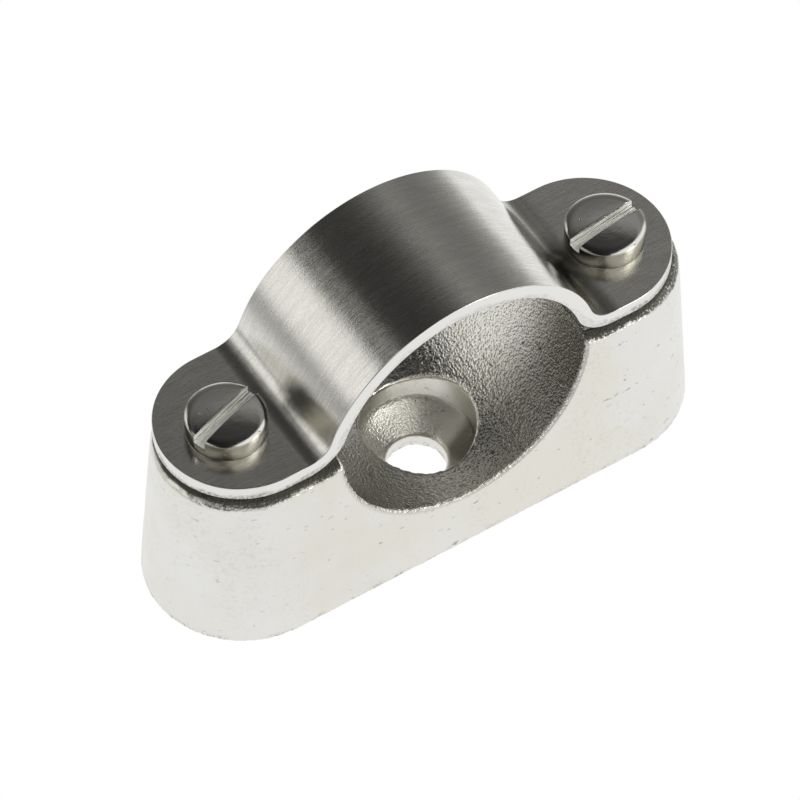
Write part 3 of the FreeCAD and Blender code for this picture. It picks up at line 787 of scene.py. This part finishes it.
# The sheared sides get the second finish, and each point its height in the sheet
def markCutEdges(strap):
    s = bentStrap
    reach = (s["length"] - s["width"]) / 2
    nearRim, facesOut = 0.06, 0.8
    for face in strap.data.polygons:
        x, y = face.center.x / mm - s["slip"][0], face.center.y / mm - s["slip"][1]
        beyond = max(abs(x) - reach, 0)
        outward = Vector((math.copysign(beyond, x), y, 0)).normalized()
        onRim = s["width"] / 2 - math.hypot(beyond, y) < nearRim
        if onRim and abs(face.normal.dot(outward)) > facesOut:
            face.material_index = 1
    points = places(strap) / mm
    x = np.abs(points[:, 0] - s["slip"][0])
    z = points[:, 2]
    outerBend = s["bendRadius"] + s["thickness"]
    bendLevel = s["underEar"] + outerBend
    bendRise = bendLevel - s["archCentre"]
    bendX = math.sqrt((s["archRadius"] + outerBend) ** 2 - bendRise ** 2)
    fromCentre = z - s["archCentre"]
    inArch = fromCentre * bendX > bendRise * x
    inBend = outerBend - np.hypot(x - bendX, z - bendLevel)
    besideArch = np.where(x > bendX, z - s["underEar"], inBend)
    above = np.where(inArch, np.hypot(x, fromCentre) - s["archRadius"], besideArch)
    depth = strap.data.attributes.new("depth", "FLOAT", "POINT")
    depth.data.foreach_set("value", (above / s["thickness"]).astype(np.float32))


markCutEdges(bentStrapMesh)
print("finishes made")

# Floor, sky and lamps
studio = {
    # brightness by height, from 0 straight down to 1 straight up
    "sky": ((0.0, 1.0), (0.46, 0.90), (0.50, 0.62), (0.575, 0.38), (0.65, 0.25), (0.72, 0.21),
            (0.80, 0.22), (0.880, 0.31), (0.899, 0.19), (0.922, 0.060), (1.0, 0.035)),
    "tint": (1, 0.992, 0.96),
    "leftDim": (-0.60, 0.50, 0.88),  # x of the dimmest sky, x of the full sky, and how dim
    "backDim": (0.51, 0.64, 0.35),  # y of the full sky, y of the dimmest, and how dim
    "panels": {  # soft boxes: the way each stands, and how its sides, foot and top fade out
        "leftBox": {"towards": (-0.84, 0.54), "side": (0.56, 0.74), "low": (-0.03, 0.10),
                    "high": (0.525, 0.57), "glow": 1.04},
        "overLeft": {"towards": (-0.99, -0.10), "side": (0.38, 0.52), "low": (0.62, 0.74),
                     "high": (0.86, 0.93), "glow": 0.70},
        "frontBox": {"towards": (0.55, -0.835), "side": (0.26, 0.40), "low": (0.05, 0.25),
                     "high": (0.93, 0.99), "glow": 1.10},
    },
    "floor": {"size": 3000, "below": 0.02, "paper": 0.82, "dimFrom": (50, 160), "dim": 0.5},
    "aim": (0, 0, 12),
    "lamps": {
        "keyLamp": {"at": (275, -330, 410), "size": 200, "watts": 0.26},
        "lowLamp": {"at": (265, -370, 225), "size": 90, "watts": 0.20},
    },
}


def makeSky():
    world = bpy.data.worlds.new("studioSky")
    bpy.context.scene.world = world
    world.use_nodes = True
    world.node_tree.nodes.clear()
    g = Wire(world.node_tree)
    x = g.node("SeparateXYZ", {}, {0: g.node("TexCoord")})
    y, z = x.also("Y"), x.also("Z")
    ramp = g.node("ValToRGB", {"stops": studio["sky"]}, {0: z * 0.5 + 0.5})
    shade = g.node("SeparateColor", {}, {0: ramp})
    low, high, amount = studio["leftDim"]
    shade = shade * (1 - amount + amount * x.between(low, high))
    low, high, amount = studio["backDim"]
    shade = shade * (1 - amount * y.between(low, high))
    for panel in studio["panels"].values():
        aside = x * panel["towards"][0] + y * panel["towards"][1]
        lit = aside.between(*panel["side"]) * z.band(*panel["low"], *panel["high"])
        shade = shade + lit * panel["glow"] * (1 - shade)
    seen = g.node("LightPath")
    tinted = {channel: shade * amount for channel, amount in enumerate(studio["tint"])}
    colour = seen.blend(g.node("CombineColor", {}, tinted), (1, 1, 1, 1))
    g.node("OutputWorld", {}, {0: g.node("Background", {}, {"Color": colour})})


def makeFloor():
    s = studio["floor"]
    putDown()
    bpy.ops.mesh.primitive_plane_add(size=s["size"] * mm, location=(0, 0, -s["below"] * mm))
    floor = settle("studioFloor")
    material, g = newMaterial("palePaper")
    seen = g.node("LightPath")
    leftward = -1 * g.millimetres(g.objectPlace())[0]
    dim = leftward.between(*s["dimFrom"]) * s["dim"] * (1 - seen)  # the paper falls off to the left
    white = g.node("Emission", {}, {"Color": dim.blend((1, 1, 1, 1), (0, 0, 0, 1))})
    paper = g.node("BsdfDiffuse", {}, {"Color": (s["paper"],) * 3 + (1,)})
    share = g.math("MAXIMUM", seen, seen.also("Is Glossy Ray"))
    share = g.math("MAXIMUM", share, seen.also("Is Transmission Ray"))
    mixed = g.node("MixShader", {}, {0: share, 1: paper, 2: white})
    g.node("OutputMaterial", {}, {"Surface": mixed})
    floor.data.materials.append(material)


def hangLamp(name):
    lamp = studio["lamps"][name]
    place = Vector(lamp["at"]) * mm
    putDown()
    bpy.ops.object.light_add(type="AREA", location=place)
    light = bpy.context.object
    light.name = name
    light.data.shape = "SQUARE"
    light.data.size = lamp["size"] * mm
    light.data.energy = lamp["watts"]
    towards = Vector(studio["aim"]) * mm - place
    light.rotation_euler = towards.to_track_quat("-Z", "Y").to_euler()


makeSky()
makeFloor()
for name in studio["lamps"]:
    hangLamp(name)
bpy.context.scene.view_settings.view_transform = "Standard"
print("studio set")

# Who moves with what
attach(castBaseMesh, "base")
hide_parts("base")
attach(bentStrapMesh, "strap")
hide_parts("strap")
for name, screw in screws.items():
    screw.name = name + "_threaded"
    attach(screw, name)
    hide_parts(name)
